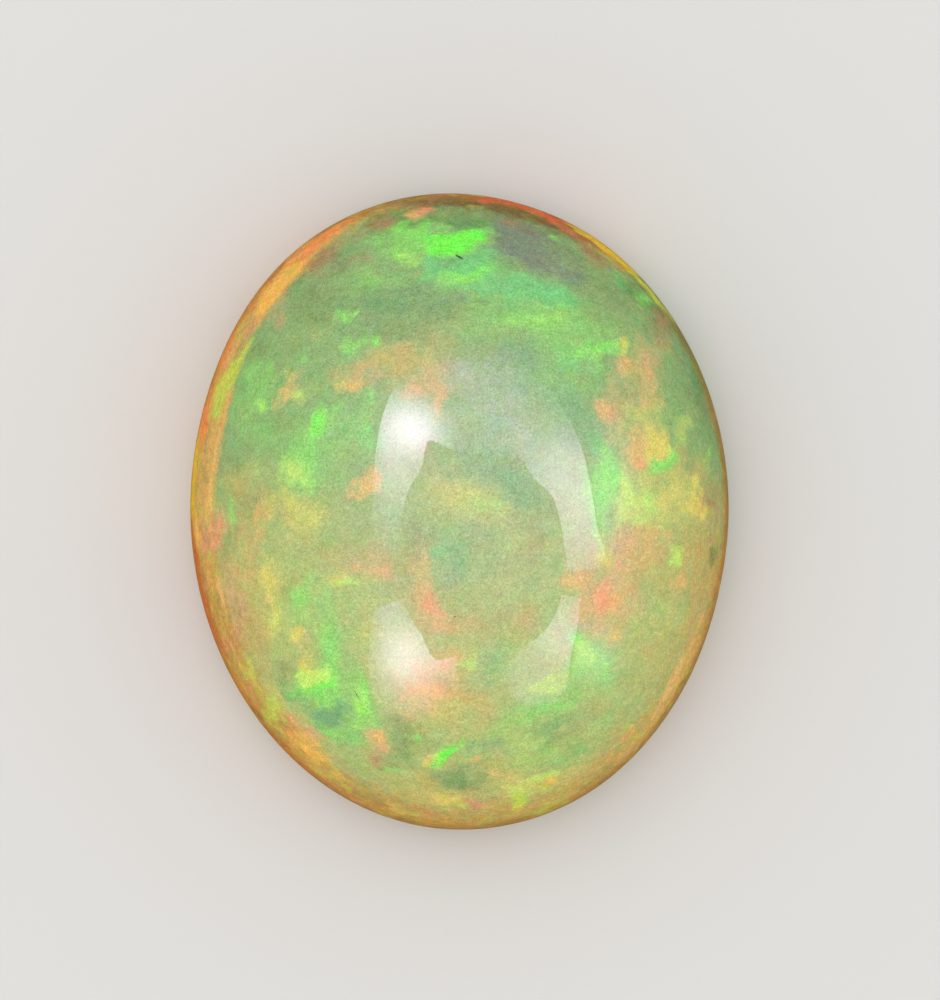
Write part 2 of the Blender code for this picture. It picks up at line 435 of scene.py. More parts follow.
LIME = (
    (-1.0, 5.25, 0.6, 0.3, 0, 0.5),
    (-2.42, 3.42, 0.2, 0.3, 0, 0.3),
    (-3.35, 0.75, 0.6, 0.6, 0, 1.2),
    (3.32, 0.50, 0.36, 1.0, 0, 1.3),
    (3.8, 0.2, 0.9, 0.6, 0, 0.9),
    (0.5, 0.12, 1.0, 0.4, -12, 0.9),
    (1.0, -0.6, 0.6, 0.6, 0, 0.5),
    (4.42, -0.9, 0.4, 0.35, 0, 1.3),
    (-2.05, -4.05, 0.45, 0.9, -8, 0.7),
    (-2.93, -3.36, 0.50, 0.30, 0, 1.2),
    (-3.15, -3.35, 0.35, 0.2, 0, 1.2),
    (1.75, -3.5, 0.8, 0.35, 25, 1.2),
    (2.5, -2.85, 0.35, 0.4, 0, 0.7),
    (2.6, -3.1, 0.6, 0.4, 0, 0.6),
    (1.25, -4.8, 1.0, 0.6, 0, 0.5),
    (1.25, -5.8, 0.7, 0.35, -30, 1.2),
    (1.75, -5.5, 0.7, 0.25, 0, 1.0),
    (0.2, -3.15, 0.4, 0.35, 0, 1.1),
    (-3.8, -4.0, 0.8, 0.35, -35, 1.0),
    (1.6, 3.95, 1.2, 0.3, 0, 0.4),
    (3.6, -0.28, 0.6, 0.3, 0, 1.0),
    (-0.48, -5.0, 0.22, 0.22, 0, 1.3),
    (-3.3, 2.45, 0.4, 0.3, 0, 0.7),
    (-2.35, -1.45, 0.4, 0.25, 0, 1.0),
    (-3.7, -2.2, 0.5, 0.8, 0, 0.6),
    (4.22, 1.25, 0.35, 0.35, 0, 1.2),
    (3.85, 0.55, 0.5, 0.5, 0, 0.4),
    (-4.15, 2.15, 0.35, 0.15, 45, 0.7),
    (2.88, -0.5, 0.4, 0.5, 0, 0.9),
)
YELLOW = (
    (4.0, 1.42, 0.5, 0.6, 0, 1.3),
    (3.92, 1.15, 0.4, 0.35, 0, 0.9),
    (4.85, 0.05, 0.7, 0.3, 0, 1.3),
    (4.85, 0.45, 0.26, 0.55, 0, 1.1),
    (4.2, 0.3, 0.5, 0.3, 0, 0.7),
    (-3.87, -1.4, 0.4, 0.9, 0, 1.0),
    (-3.75, -2.2, 0.45, 0.6, 0, 0.5),
    (-3.3, -2.45, 0.22, 0.32, 0, 1.3),
    (-3.15, -3.12, 0.38, 0.36, 0, 1.4),
    (-2.45, -1.3, 0.3, 0.25, 0, 0.8),
    (-0.6, -3.9, 1.1, 0.4, 0, 0.6),
    (-0.3, -5.9, 0.6, 0.3, 0, 1.3),
    (-3.45, 2.85, 0.35, 0.3, 0, 0.5),
    (3.4, 3.4, 0.2, 0.4, 0, 1.0),
    (-0.2, 0.4, 0.9, 0.4, -10, 0.8),
    (-2.35, 2.5, 0.4, 0.3, 0, 0.8),
    (2.95, -0.95, 0.5, 0.5, 0, 1.2),
    (3.8, 0.75, 0.4, 0.3, 0, 0.5),
    (-0.62, -5.05, 0.14, 0.2, 0, 0.9),
    (3.1, -2.55, 0.6, 0.35, 0, 0.8),
    (2.4, -5.35, 0.7, 0.25, 30, 0.6),
)
ORANGE = (
    (-0.86, 6.05, 0.40, 0.26, 0, 1.3),
    (-3.55, 2.52, 1.00, 0.24, 50, 0.9),
    (-2.25, 2.50, 0.45, 0.35, 0, 1.1),
    (-1.8, 2.9, 0.6, 0.3, 15, 0.6),
    (-0.4, 2.4, 0.25, 0.6, 0, 0.7),
    (3.45, 2.95, 0.4, 0.5, 0, 0.9),
    (3.88, 2.75, 0.32, 0.55, 0, 0.8),
    (3.06, 2.05, 0.42, 0.6, 0, 1.0),
    (3.6, 1.35, 0.5, 0.6, 0, 1.1),
    (3.75, 1.1, 0.3, 0.40, 30, 1.4),
    (4.15, 0.3, 0.3, 0.3, 0, 0.6),
    (-1.84, 0.68, 0.42, 0.42, 0, 1.8),
    (-2.05, 0.38, 0.4, 0.3, 45, 1.2),
    (-4.1, -0.15, 0.3, 0.7, 0, 0.6),
    (-1.8, -1.15, 1.3, 0.22, 0, 0.8),
    (4.0, -0.40, 0.9, 0.40, 0, 0.8),
    (3.3, -0.55, 0.9, 0.3, 0, 0.3),
    (3.6, -1.0, 0.9, 0.5, 0, 0.6),
    (3.4, -1.5, 0.5, 0.6, 0, 0.5),
    (4.5, -1.3, 0.4, 0.4, 0, 1.0),
    (2.35, -1.40, 0.6, 0.45, 0, 1.4),
    (2.6, -2.0, 0.4, 0.6, -15, 0.9),
    (3.2, -1.9, 0.4, 0.5, 0, 1.0),
    (-0.45, -2.35, 0.6, 0.5, -30, 1.1),
    (-0.7, -1.35, 0.5, 0.8, 0, 1.0),
    (-0.3, -3.1, 1.1, 0.35, 15, 0.9),
    (-0.6, -3.65, 0.9, 0.4, 0, 1.1),
    (-0.6, -4.98, 0.12, 0.18, 0, 1.2),
    (0.33, -5.08, 0.24, 0.14, 0, 1.3),
    (-1.72, -4.62, 0.32, 0.42, 0, 0.9),
    (-3.25, -4.65, 0.9, 0.35, -45, 0.9),
    (0.8, -5.3, 0.4, 0.2, 0, 0.6),
)
RED = (
    (-0.66, 6.20, 0.36, 0.20, 0, 1.5),
    (2.95, -1.75, 0.38, 0.72, 0, 1.5),
    (-0.58, -1.80, 0.38, 0.9, 5, 1.5),
    (-0.25, -2.15, 0.35, 0.2, -40, 0.7),
    (3.3, -1.1, 0.2, 0.25, 0, 0.8),
    (-1.75, 0.72, 0.2, 0.2, 0, 0.6),
    (-4.97, -0.35, 0.25, 0.5, 0, 0.8),
    (3.75, 1.08, 0.18, 0.2, 0, 0.7),
)
INCLUSIONS = (
    (0.0, 5.20, 0.20, 0.045, -30, 1.3),
    (-2.1, -3.75, 0.45, 0.030, -60, 0.6),
    (-0.1, -2.15, 0.08, 0.05, 15, 0.6),
)
# A patch fades out over a ball this many times its size, and reaches a little deeper
# than this, in mm.
PATCH_SPREAD = 1.55
PATCH_DEPTH = 1.6
# What is painted for an inclusion where it begins and where it is full, and its cover.
INCLUSION_EDGE = (0.3, 0.6)
INCLUSION_COVER = 0.8
INCLUSION_COLOUR = srgb(40, 52, 36)

# The lists in the order that they are laid over each other, each with its cover.
DOMAINS = {
    "honey": (HONEY, 0.90),
    "jade": (JADE, 0.80),
    "straw": (STRAW, 0.80),
    "moss": (MOSS, 0.80),
    "teal": (TEAL, 0.80),
    "fern": (FERN, 0.80),
    "slate": (SLATE, 0.80),
    "peach": (PEACH, 0.80),
    "bark": (BARK, 0.80),
    "mint": (MINT, 0.80),
    # The painted glare round the lamps' reflections, laid last.
    "mist": (PAINTED_GLARE, 0.80),
}
FLASHES = {
    "green": (GREEN, 0.90),
    "vivid": (VIVID, 0.90),
    "lime": (LIME, 0.90),
    "yellow": (YELLOW, 0.85),
    "orange": (ORANGE, 0.85),
    "red": (RED, 0.90),
}

# The flat base, which the photo doesn't show, has patches strewn over it.
BASE_PATCHES = {
    "jade": 9, "straw": 6, "moss": 7, "teal": 5, "bark": 4, "mint": 5,
    "green": 14, "vivid": 6, "lime": 8, "orange": 7,
}
BASE_SEED = 7
# How far up from the base they reach, in mm.
BASE_DEPTH = 0.75
# The ranges of their length in mm, of their width as a share of it and of their strength.
BASE_LENGTHS = (0.6, 1.8)
BASE_WIDTHS = (0.4, 0.8)
BASE_STRENGTHS = (0.7, 1.3)
# How much longer the domains are, and how far out a patch may lie, as a squared share.
BASE_DOMAIN_GROWTH = 1.5
BASE_REACH = 0.9

# The colours of the rim's painted glow: light that leaves through the thin edge is
# amber, and it is painted into the colour here.
RIM_GLOW_COLOURS = {
    "umber": srgb(190, 140, 64),
    "amber": srgb(226, 140, 42),
    "drab": srgb(152, 140, 66),
    "rust": srgb(216, 120, 52),
    "bronze": srgb(130, 100, 54),
    "olive": srgb(138, 148, 76),
    "sand": srgb(206, 176, 88),
    "tan": srgb(214, 162, 72),
    "clay": srgb(238, 182, 96),
    "bark": srgb(176, 138, 92),
    "pink": srgb(228, 160, 112),
    "flame": srgb(255, 158, 82),
    "saffron": srgb(255, 200, 90),
    "gold": srgb(246, 204, 46),
    "leaf": srgb(214, 224, 88),
    "scarlet": srgb(240, 112, 66),
    "crest": srgb(246, 204, 122),
}

# The painted glow of the rim all round, which stands for light that leaves through the
# thin edge, each (direction from +X in degrees, colour of the outermost line, colour of
# the band inside it, width of the band and of its soft inner edge in mm).
RIM = (
    (15, "umber", "olive", 0.10, 0.20),
    (40, "drab", "olive", 0.12, 0.20),
    (50, "olive", "olive", 0.12, 0.15),
    (58, "rust", "tan", 0.20, 0.20),
    (67, "rust", "bronze", 0.26, 0.20),
    (80, "rust", "bronze", 0.30, 0.18),
    (96, "umber", "bronze", 0.26, 0.18),
    (108, "umber", "sand", 0.20, 0.20),
    (125, "amber", "clay", 0.42, 0.18),
    (140, "amber", "clay", 0.38, 0.20),
    (158, "amber", "clay", 0.54, 0.12),
    (180, "amber", "clay", 0.54, 0.12),
    (200, "amber", "tan", 0.50, 0.25),
    (225, "amber", "tan", 0.44, 0.40),
    (255, "umber", "tan", 0.36, 0.45),
    (290, "umber", "sand", 0.34, 0.40),
    (325, "umber", "clay", 0.32, 0.30),
    (350, "umber", "sand", 0.14, 0.25),
)
RIM_START = 15
# The flecks in the rim's band, each with the place where its noise starts.
RIM_FLECKS = {"olive": (2, 6, 1), "pink": (8, 3, 5), "leaf": (4, 9, 7)}
# The noise where a fleck begins and where it is full.
FLECK_EDGE = (0.54, 0.68)
# How strongly each of these covers the colour under it.
RIM_COVERS = {"band": 0.85, "line": 0.9, "fleck": 0.45, "glow": 0.9}
# The width of the outermost line, of its soft edge and of the wander of that edge, in mm.
OUTER_LINE = {"width": 0.05, "soft": 0.18, "wander": 0.08}
# How far the inner edge of the band wanders, as a share of its softness.
BAND_WANDER = 1.2
# How dark and how light the streaks make the band, and how fast their noise changes
# inwards and round the stone.
STREAK_LIGHT = (0.86, 1.14)
STREAKS_INWARD = 7.0
STREAKS_ROUND = 11.0
# The part of the patches' wander that shifts the rim's glows in and out.
GLOW_WANDER = 0.2
# How far down from the dome's foot the side still counts as the girdle, in mm.
GIRDLE_DEPTH = 0.3

# How far noise shifts the patches, in millimetres.
WIDE_WANDER = {"per_mm": 0.9, "shift": 0.22}
FINE_WANDER = {"per_mm": 3.6, "shift": 0.14}
# Blender starts this noise from the clock, unless it is given a seed.
WANDER_SEED = 5
# How far the red, green and blue of the colour drift, everywhere and near the rim, and
# the distances from the rim where its own drift begins and is full, in mm.
DRIFT = (0.60, 0.36, 0.50)
RIM_DRIFT = (1.0, 0.9, 1.3)
RIM_DRIFT_EDGE = (1.0, 0.1)
# How dark and how light each size of grain makes the colour.
GRAIN_LIGHT = {"grain": (0.82, 1.18), "speck": (0.80, 1.20), "mottle": (0.80, 1.20)}
# What is added to a colour while the grain scales it.
GRAIN_LIFT = 0.2
# Every noise in the stone: its scale per millimetre, its detail and its roughness.
NOISES = {
    "cloud": (1.8, 5.0, 0.65),
    "blotch": (3.4, 4.0, 0.60),
    "strokes": (8.0, 3.0, 0.55),
    "drift": (2.2, 4.0, 0.62),
    "rim_drift": (6.5, 3.0, 0.65),
    "streaks": (1.6, 3.0, 0.60),
    "fleck": (1.5, 4.0, 0.60),
    "mottle": (7.0, 3.0, 0.70),
    "grain": (20.0, 1.0, 0.60),
    "speck": (38.0, 0.0, 0.50),
}
# Where these start, so that no two of them have the same pattern.
NOISE_STARTS = {
    "cloud": (9, 4, 2), "blotch": (3, 1, 4), "drift": (5, 2, 8), "rim_drift": (1, 7, 3),
}
# How ragged the edges are: how far noise shifts what is painted, and the strengths where
# a patch begins and where it is full.
DOMAIN_EDGE = {"amount": 2.0, "low": 0.00, "high": 1.10}
FLASH_EDGE = {"amount": 1.6, "low": 0.05, "high": 1.10}
GLOW_EDGE = {"amount": 1.6, "low": 0.05, "high": 0.90}
# Noise shifts in full only what is painted at least this strongly.
RAGGED_FROM = 0.25
# The strokes that break up the flashes: their shape, their share beside the blotches,
# and their turn high and low on the stone and between these distances from its middle.
STROKE_SHAPE = (5, 1, 1)
STROKE_SHARE = 0.4
LEVEL_TURN = 10
UPRIGHT_TURN = 72
UPRIGHT_EDGE = (2.6, 1.6)
# Where on the stone's long axis the ground colour changes over, in mm.
GROUND_EDGE = (2.0, -2.0)
# The painted glow under the crown, a paler and brighter middle that stands for light
# through the translucent dome: its middle, which is as high as the crown, its size in mm
# and its cover.
CROWN_GLOW_PLACE = (0.3, 0.0)
CROWN_GLOW_SIZE = (5.2, 5.8, 6.0)
CROWN_GLOW_COVER = 0.42

# The stone's plain finish, with the clear polish over it as its coat.
STONE_FINISH = {
    "Roughness": 0.45,
    "IOR": 1.45,
    "Specular IOR Level": 0.15,
    "Coat Roughness": 0.02,
    "Coat IOR": 1.45,
}
# How much of the polish is left at the worn girdle, and how wide the worn part is in mm.
GIRDLE_POLISH = 0.25
WORN_WIDTH = 0.45

# Painted glows along the rim, which stand for light seen through the thin edge, by
# colour, each (direction, distance in from the edge in mm, length in degrees, width in
# mm, strength).
RIM_GLOWS = {
    "bark": (
        (208, 0.62, 12, 0.50, 0.4), (120, 0.42, 10, 0.22, 0.9), (105, 0.30, 6, 0.30, 0.7),
        (62, 0.30, 10, 0.20, 0.9), (79, 0.42, 10, 0.16, 0.5),
    ),
    "rust": (
        (192, 0.08, 26, 0.16, 0.9), (206, 0.08, 12, 0.14, 0.7), (345, 0.07, 20, 0.10, 0.6),
        (109, 0.09, 8, 0.12, 0.7), (70, 0.16, 9, 0.16, 0.6), (236, 0.08, 12, 0.12, 0.5),
    ),
    "pink": ((185, 0.44, 7, 0.45, 1.2), (272, 0.50, 7, 0.25, 0.7), (136, 0.32, 7, 0.2, 0.9)),
    "olive": ((146, 0.36, 8, 0.24, 1.0), (106, 0.25, 8, 0.2, 0.5), (349, 0.25, 7, 0.25, 0.8)),
    "flame": (
        (117, 0.13, 13, 0.19, 1.6), (124, 0.20, 10, 0.26, 1.4), (131, 0.26, 9, 0.24, 1.0),
        (234, 0.42, 5, 0.30, 0.6), (59, 0.07, 6, 0.08, 0.9), (161, 0.12, 12, 0.20, 1.3),
        (147, 0.07, 10, 0.12, 0.9), (307, 0.40, 4, 0.20, 0.5),
    ),
    "saffron": (
        (128, 0.25, 11, 0.22, 1.5), (133, 0.32, 6, 0.18, 1.0), (184, 0.14, 9, 0.12, 0.9),
        (238, 0.40, 9, 0.42, 0.9),
        (288, 0.55, 4, 0.20, 0.8), (246, 0.30, 6, 0.20, 0.5), (196, 0.30, 7, 0.14, 0.6),
    ),
    "gold": (
        (63, 0.05, 12, 0.08, 1.8), (56, 0.06, 6, 0.10, 1.1), (173, 0.07, 15, 0.11, 1.6),
        (152, 0.18, 8, 0.12, 0.5),
    ),
    "leaf": (
        (154, 0.29, 9, 0.24, 1.7), (148, 0.38, 8, 0.24, 1.3), (142, 0.44, 5, 0.16, 0.7),
        (49, 0.07, 12, 0.10, 1.1), (282, 0.42, 3, 0.34, 1.2), (287, 0.50, 3, 0.20, 0.9),
        (227, 0.36, 5, 0.45, 0.9), (217, 0.40, 4, 0.30, 0.6), (308, 0.50, 4, 0.20, 0.5),
        (269, 0.45, 3, 0.16, 0.7),
    ),
    "bronze": ((227, 0.09, 14, 0.16, 0.4), (42, 0.14, 10, 0.14, 0.3), (321, 0.07, 10, 0.12, 0.5)),
    "scarlet": ((79, 0.05, 13, 0.10, 1.2), (84, 0.10, 6, 0.10, 0.8), (72, 0.09, 6, 0.10, 0.6)),
    "crest": (
        (165, 0.45, 16, 0.07, 0.8), (180, 0.46, 16, 0.07, 0.8), (199, 0.44, 12, 0.14, 0.5),
        (322, 0.28, 16, 0.14, 0.9), (334, 0.24, 8, 0.12, 0.7), (212, 0.30, 8, 0.10, 0.5),
        (122, 0.10, 6, 0.05, 0.8),
    ),
}

# The lamps mirrored in the dome: the outline of each reflection as seen from above, and
# its glow spots, each (x, y, length, width, turn, brightness).
LAMPS = {
    "arch": {
        "outline": (
            (-1.80, -1.1), (-1.80, -0.2), (-1.78, 0.5), (-1.75, 0.8), (-1.73, 1.0), (-1.68, 1.3),
            (-1.60, 1.65), (-1.52, 1.9), (-1.40, 2.15), (-1.25, 2.5), (-1.0, 2.8), (-0.5, 3.2),
            (0.3, 3.5), (1.0, 3.3), (1.5, 2.8), (1.9, 2.4), (2.1, 2.15), (2.25, 1.85), (2.38, 1.6),
            (2.48, 1.35), (2.56, 1.1), (2.63, 0.8), (2.70, 0.4), (2.75, 0.1), (2.80, -0.3),
            (2.90, -0.6), (3.00, -0.9), (2.85, -1.15), (2.22, -1.15), (2.20, -0.85),
            (2.13, -0.6), (2.08, -0.3),
            (2.02, -0.05), (1.97, 0.12), (1.90, 0.3), (1.80, 0.42), (1.65, 0.55), (1.50, 0.7),
            (1.38, 0.88), (1.35, 1.0), (1.25, 1.1), (0.9, 1.15), (0.5, 1.15), (0.1, 1.2),
            (-0.25, 1.3), (-0.35, 1.37), (-0.48, 1.42), (-0.57, 1.43), (-0.62, 1.36),
            (-0.68, 1.15), (-0.72, 0.95), (-0.78, 0.8), (-0.87, 0.65), (-1.00, 0.5), (-1.08, 0.3),
            (-1.14, 0.1), (-1.18, -0.1), (-1.22, -0.4), (-1.20, -1.1),
        ),
        "glow": (
            (-1.1, 1.8, 1.2, 1.2, 0, 10.5), (-0.62, 1.6, 1.1, 1.1, 0, 9.5),
            (-1.15, 1.2, 1.3, 1.9, 0, 8.0), (-1.45, 0.2, 1.1, 2.2, 0, 2.6),
            (0.9, 2.1, 3.0, 2.0, 0, 2.0), (1.8, 1.0, 1.6, 1.5, 30, 4.5),
            (2.4, 0.1, 1.7, 2.9, 0, 7.5), (3.05, 0.3, 1.15, 2.8, 0, 2.4),
            (-1.5, 1.3, 0.6, 1.0, 0, 3.0),
        ),
    },
    "halo": {
        "outline": (
            (2.38, 1.65), (2.50, 1.35), (2.58, 1.1), (2.65, 0.8), (2.72, 0.4), (2.77, 0.1),
            (2.82, -0.3), (2.92, -0.6), (3.02, -0.9), (2.90, -1.2), (3.0, -2.1), (3.5, -1.7),
            (3.9, -0.6), (3.98, 0.5), (3.7, 1.8), (3.2, 2.6), (2.6, 2.5),
        ),
        "glow": ((3.05, 0.3, 1.15, 2.8, 0, 2.4),),
    },
    "low_halo": {
        "outline": (
            (2.52, -2.2), (2.45, -2.55), (2.37, -2.8), (2.32, -3.1), (2.25, -3.55), (2.7, -4.0),
            (3.3, -3.6), (3.6, -2.9), (3.3, -2.2),
        ),
        "glow": ((2.75, -2.9, 1.2, 1.1, 0, 2.6),),
    },
    "lower_left": {
        "outline": (
            (-1.75, -2.0), (-1.18, -1.8), (-1.05, -2.1), (-0.94, -2.3), (-0.80, -2.5),
            (-0.72, -2.7), (-0.63, -2.9), (-0.50, -3.05), (-0.20, -2.97), (-0.05, -3.0),
            (-0.10, -3.5), (-0.45, -4.1), (-1.0, -4.4), (-1.6, -4.2), (-1.85, -3.6),
            (-1.9, -2.9), (-1.85, -2.4),
        ),
        "glow": (
            (-1.15, -2.9, 1.2, 1.1, 0, 7.5), (-1.1, -2.6, 1.2, 1.8, 0, 4.0),
            (-1.1, -3.4, 1.7, 1.5, 0, 4.0), (-0.35, -3.05, 0.8, 0.6, 0, 3.5),
            (-1.55, -2.1, 0.9, 1.2, 0, 2.5),
        ),
    },
    "lower_right": {
        "outline": (
            (2.10, -1.65), (2.50, -1.7), (2.45, -2.2), (2.38, -2.55), (2.30, -2.8), (2.25, -3.1),
            (2.2, -3.5), (1.9, -3.9), (1.3, -4.0), (0.9, -3.7), (0.8, -3.25), (1.10, -2.95),
            (1.30, -2.75), (1.55, -2.55), (1.75, -2.4), (1.85, -2.25), (1.98, -2.05), (2.05, -1.85),
        ),
        "glow": (
            (2.2, -2.3, 1.2, 2.0, 0, 5.0), (1.7, -2.72, 1.4, 1.1, 30, 3.5),
            (1.5, -3.65, 1.4, 0.8, 20, 2.4), (2.75, -2.9, 1.2, 1.1, 0, 2.6),
            (1.05, -3.2, 1.0, 0.8, 0, 1.5),
        ),
    },
}
# How far the lamps are from the dome, in metres, and how finely their sheets are cut.
LAMP_DISTANCE = 0.08
LAMP_CUTS = 3
# A little rose and blue, so that the mirrored light is white over the green stone.
LAMP_COLOUR = srgb(246, 220, 255)

# The width of the floor along X, in metres.
FLOOR_SIDE = 1.2
# The opening in the floor, as a share of the girdle, is a little smaller than the base.
FLOOR_OPENING = 0.86
FLOOR_FINISH = {"Roughness": 0.9, "Specular IOR Level": 0.1}
# How high up in the room, as the sine of the angle, the light from the sides ends.
HIGH_UP = 0.6
KEY_LAMP = {"place": (-0.05, 0.06, 0.25), "side": 0.20, "watts": 0.10}
# How much of the soft room light the polish mirrors.
MIRRORED_ROOM = 0.03


def tint(name, description, red, green, blue):
    """A colour setting with a display colour, 0 to 255, as its default."""
    return bpy.props.FloatVectorProperty(
        name=name, description=description, subtype="COLOR",
        default=srgb(red, green, blue), min=0.0, max=1.0,
    )


class OpalSettings(bpy.types.PropertyGroup):
    """The sizes and colours of the stone and its stage."""

    bevel_height: bpy.props.FloatProperty(
        name="Bevel height",
        description="Height of the slope between the flat base and the girdle",
        default=0.00055, min=0.0, unit="LENGTH",
    )
    bevel_inset: bpy.props.FloatProperty(
        name="Bevel inset",
        description="How far the base is drawn in from the girdle",
        default=0.00060, min=0.0, unit="LENGTH",
    )
    girdle_height: bpy.props.FloatProperty(
        name="Girdle height",
        description="Height of the upright band at the widest line",
        default=0.00025, min=0.0, unit="LENGTH",
    )
    edge_rounding: bpy.props.FloatProperty(
        name="Edge rounding",
        description="How far the edges at the base and under the girdle are worn round",
        default=0.00010, min=0.0, unit="LENGTH",
    )
    ground: tint("Upper ground", "Green ground colour of the upper half", 147, 181, 115)
    low_ground: tint("Lower ground", "Warmer ground colour of the lower half", 184, 196, 119)
    # Painted light: the paler, brighter middle under the crown that light through the translucent
    # dome gives.
    painted_crown_glow: tint("Milk", "Pale haze that gathers under the crown", 190, 206, 166)
    honey: tint("Honey", "Warm tan domains", 206, 182, 106)
    moss: tint("Moss", "Dark grey-green domains", 134, 154, 98)
    jade: tint("Jade", "Soft green domains", 146, 208, 110)
    straw: tint("Straw", "Soft yellow-green domains", 212, 212, 114)
    peach: tint("Peach", "Soft salmon domains", 224, 182, 128)
    bark: tint("Bark", "Dull brown and rose-tan domains", 178, 148, 104)
    slate: tint("Slate", "Grey domains", 130, 140, 124)
    teal: tint("Teal", "Cool green domains", 126, 176, 122)
    fern: tint("Fern", "Dark clear green domains", 108, 164, 84)
    mint: tint("Mint", "Bright cool green domains", 122, 208, 128)
    # Painted glare: the pale haze round the lamps' reflections.
    mist: tint("Mist", "Pale grey haze", 176, 192, 172)
    green: tint("Green flashes", "Soft green flashes", 150, 228, 110)
    vivid: tint("Vivid green", "The brightest green flashes", 116, 254, 76)
    lime: tint("Lime flashes", "Yellow-green flashes", 204, 240, 114)
    yellow: tint("Yellow flashes", "Yellow flashes", 236, 216, 106)
    orange: tint("Orange flashes", "Orange flashes", 242, 188, 114)
    red: tint("Red flashes", "Salmon red flashes", 255, 168, 114)
    floor_colour: tint("Floor colour", "Colour of the plain floor", 226, 225, 222)
    overhead: bpy.props.FloatProperty(
        name="Light from above",
        description="Strength of the soft light that comes from above",
        default=0.78, min=0.0,
    )
    sideways: bpy.props.FloatProperty(
        name="Light from the sides",
        description="Strength of the soft light that comes in low from all round",
        default=1.68, min=0.0,
    )


def shoulder_factor(degrees):
    """How far the cut strays from a true ellipse in this direction, as a factor."""
    factor = 1.0
    for centre, spread, share in SHOULDERS:
        away = (degrees - centre + 180.0) % 360.0 - 180.0
        factor += share * math.exp(-0.5 * (away / spread) ** 2)
    return factor


def girdle_outline():
    """The widest line of the stone, centred on the origin and at its real size."""
    points = []
    for side in range(SIDES):
        turn = 2 * math.pi * side / SIDES
        ellipse = Vector((math.cos(turn) * SIZE.x / 2, math.sin(turn) * SIZE.y / 2, 0))
        direction = math.degrees(math.atan2(ellipse.y, ellipse.x))
        points.append(ellipse * shoulder_factor(direction))
    low = Vector(map(min, zip(*points)))
    high = Vector(map(max, zip(*points)))
    middle, extent = (low + high) / 2, high - low
    return [
        Vector(((p.x - middle.x) * SIZE.x / extent.x, (p.y - middle.y) * SIZE.y / extent.y, 0))
        for p in points
    ]


def girdle_top(settings):
    """The height at which the dome begins."""
    return settings.bevel_height + settings.girdle_height


def profile(settings):
    """Rings from the base up: how far each is drawn in from the girdle, as a share of
    the girdle's own radius, and its height."""
    base_scale = 1 - settings.bevel_inset / (SIZE.x / 2)
    top = girdle_top(settings)
    dome_height = SIZE.z - top
    rings = [(base_scale, 0.0)]
    for ring in range(1, BEVEL_RINGS + 1):
        share = ring / BEVEL_RINGS
        rings.append((base_scale + (1 - base_scale) * share, settings.bevel_height * share))
    rings.append((1.0, top))
    for ring in range(1, DOME_RINGS):
        climb = math.pi / 2 * ring / DOME_RINGS
        rings.append((math.cos(climb), top + dome_height * math.sin(climb)))
    return rings


def first_ring(shape, scale, height):
    """A ring of the girdle's outline at this scale, whose edges it gives."""
    start = bmesh.ops.create_circle(shape, cap_ends=False, radius=1.0, segments=SIDES)
    for vert, point in zip(start["verts"], girdle_outline()):
        vert.co = (point.x * scale, point.y * scale, height)
    return list(shape.edges)


def grow_ring(shape, edges, share, height):
    """Extrudes the open edge of the shape into a new ring, this share as wide, and gives
    the new edges. Each new vertex moves from where it grew, so the order can't matter."""
    grown = bmesh.ops.extrude_edge_only(shape, edges=edges)["geom"]
    for part in grown:
        if isinstance(part, bmesh.types.BMVert):
            part.co = (part.co.x * share, part.co.y * share, height)
    return [part for part in grown if isinstance(part, bmesh.types.BMEdge)]


def close_ring(shape, edges, height):
    """Draws the open edge of the shape together into one point on the axis."""
    grown = bmesh.ops.extrude_edge_only(shape, edges=edges)["geom"]
    tip = [part for part in grown if isinstance(part, bmesh.types.BMVert)]
    bmesh.ops.pointmerge(shape, verts=tip, merge_co=(0, 0, height))


def worn_edges(shape):
    """The edges of the base and under the girdle, which are the only sharp ones."""
    return [
        edge for edge in shape.edges
        if edge.is_manifold and edge.calc_face_angle() > SHARP_ANGLE
    ]


def cabochon_mesh(settings):
    """Extrudes the base outline up through every ring, closes both ends and rounds the
    two edges that wear."""
    rings = profile(settings)
    shape = bmesh.new()
    base_edges = first_ring(shape, *rings[0])
    edges = base_edges
    for (last_scale, _), (scale, height) in zip(rings, rings[1:]):
        edges = grow_ring(shape, edges, scale / last_scale, height)
    close_ring(shape, edges, SIZE.z)
    edges = base_edges
    for rings_left in range(BASE_RINGS - 1, 0, -1):
        edges = grow_ring(shape, edges, rings_left / (rings_left + 1), 0.0)
    close_ring(shape, edges, 0.0)
    bmesh.ops.recalc_face_normals(shape, faces=shape.faces)
    bmesh.ops.bevel(
        shape, geom=worn_edges(shape), offset=settings.edge_rounding, offset_type="OFFSET",
        affect="EDGES", segments=EDGE_SEGMENTS, profile=0.5, material=-1,
    )
    bmesh.ops.recalc_face_normals(shape, faces=shape.faces)
    mesh = bpy.data.meshes.new("opal_stone")
    shape.to_mesh(mesh)
    shape.free()
    mesh.shade_smooth()
    return mesh


def dome_axes(top):
    """The half axes of the dome, which is the upper half of an ellipsoid."""
    return Vector((SIZE.x / 2, SIZE.y / 2, SIZE.z - top))


